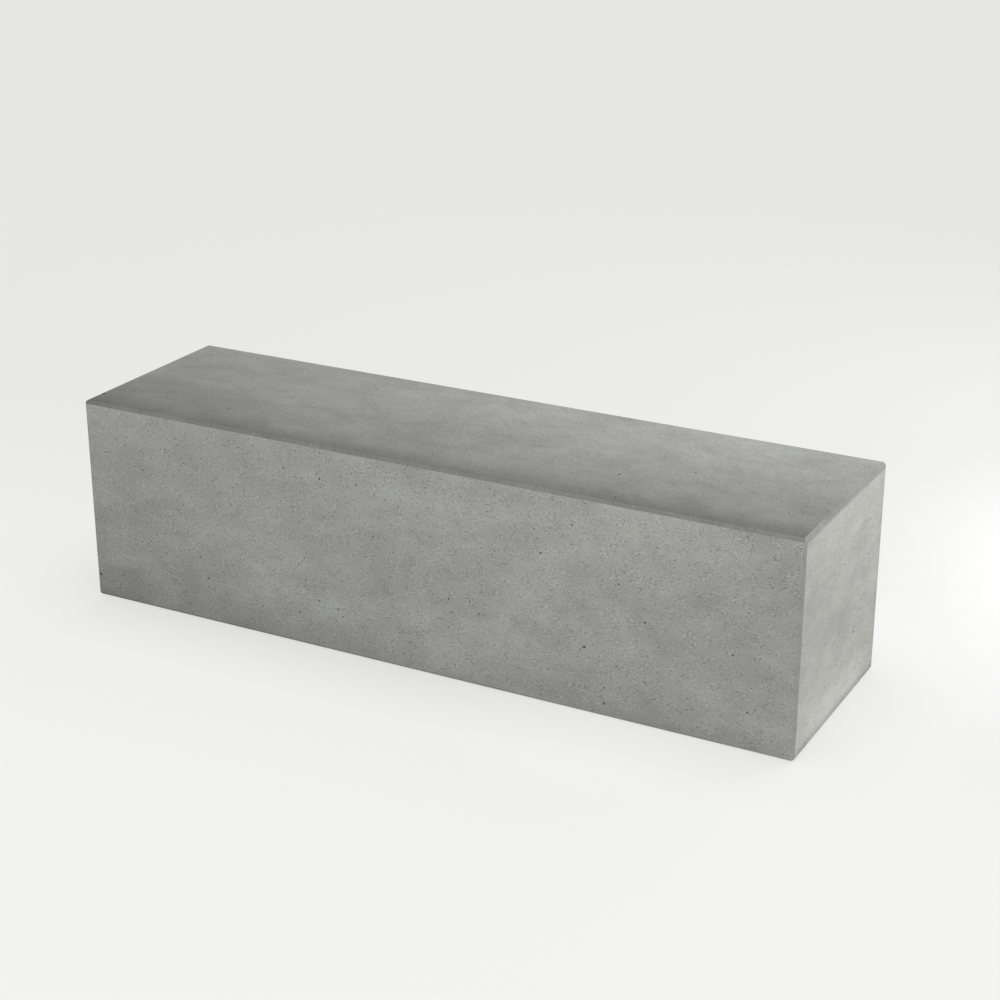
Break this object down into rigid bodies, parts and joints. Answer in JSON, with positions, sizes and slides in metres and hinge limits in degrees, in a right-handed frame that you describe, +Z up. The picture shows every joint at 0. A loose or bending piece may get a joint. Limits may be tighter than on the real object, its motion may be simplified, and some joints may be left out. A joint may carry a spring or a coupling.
{
  "type": "backless bench",
  "caption": "Monolithic precast concrete block bench with chamfered arrises, a tied steel reinforcement cage inside and threaded anchor sockets in its underside.",
  "frame": {"origin": "centre of the underside, on the ground plane", "axes": "+X along the bench to the right end, -Y towards the front face, +Z up to the seat"},
  "size_m": [1.8, 0.5, 0.5],
  "materials": {
    "concrete": "matte",
    "reinforcing_steel": "matte",
    "annealed_wire": "satin",
    "spacer_plastic": "matte",
    "zinc_plated_steel": "satin"
  },
  "bodies": {
    "root": {"concrete_body": "concrete", "main_bar_back": "reinforcing_steel", "main_bar_back_top": "reinforcing_steel", "main_bar_top": "reinforcing_steel", "main_bar_front_top": "reinforcing_steel", "main_bar_front": "reinforcing_steel", "main_bar_front_bottom": "reinforcing_steel", "main_bar_bottom": "reinforcing_steel", "main_bar_back_bottom": "reinforcing_steel", "link_1": "reinforcing_steel", "link_2": "reinforcing_steel", "link_3": "reinforcing_steel", "link_4": "reinforcing_steel", "link_5": "reinforcing_steel", "link_6": "reinforcing_steel", "link_7": "reinforcing_steel", "link_8": "reinforcing_steel", "link_9": "reinforcing_steel", "tie_wires": "annealed_wire", "cover_spacers": "spacer_plastic", "anchor_socket_front_left": "zinc_plated_steel", "anchor_socket_front_right": "zinc_plated_steel", "anchor_socket_back_left": "zinc_plated_steel", "anchor_socket_back_right": "zinc_plated_steel", "socket_tail_bar_front_left": "reinforcing_steel", "socket_tail_bar_front_right": "reinforcing_steel", "socket_tail_bar_back_left": "reinforcing_steel", "socket_tail_bar_back_right": "reinforcing_steel"}
  },
  "joints": []
}
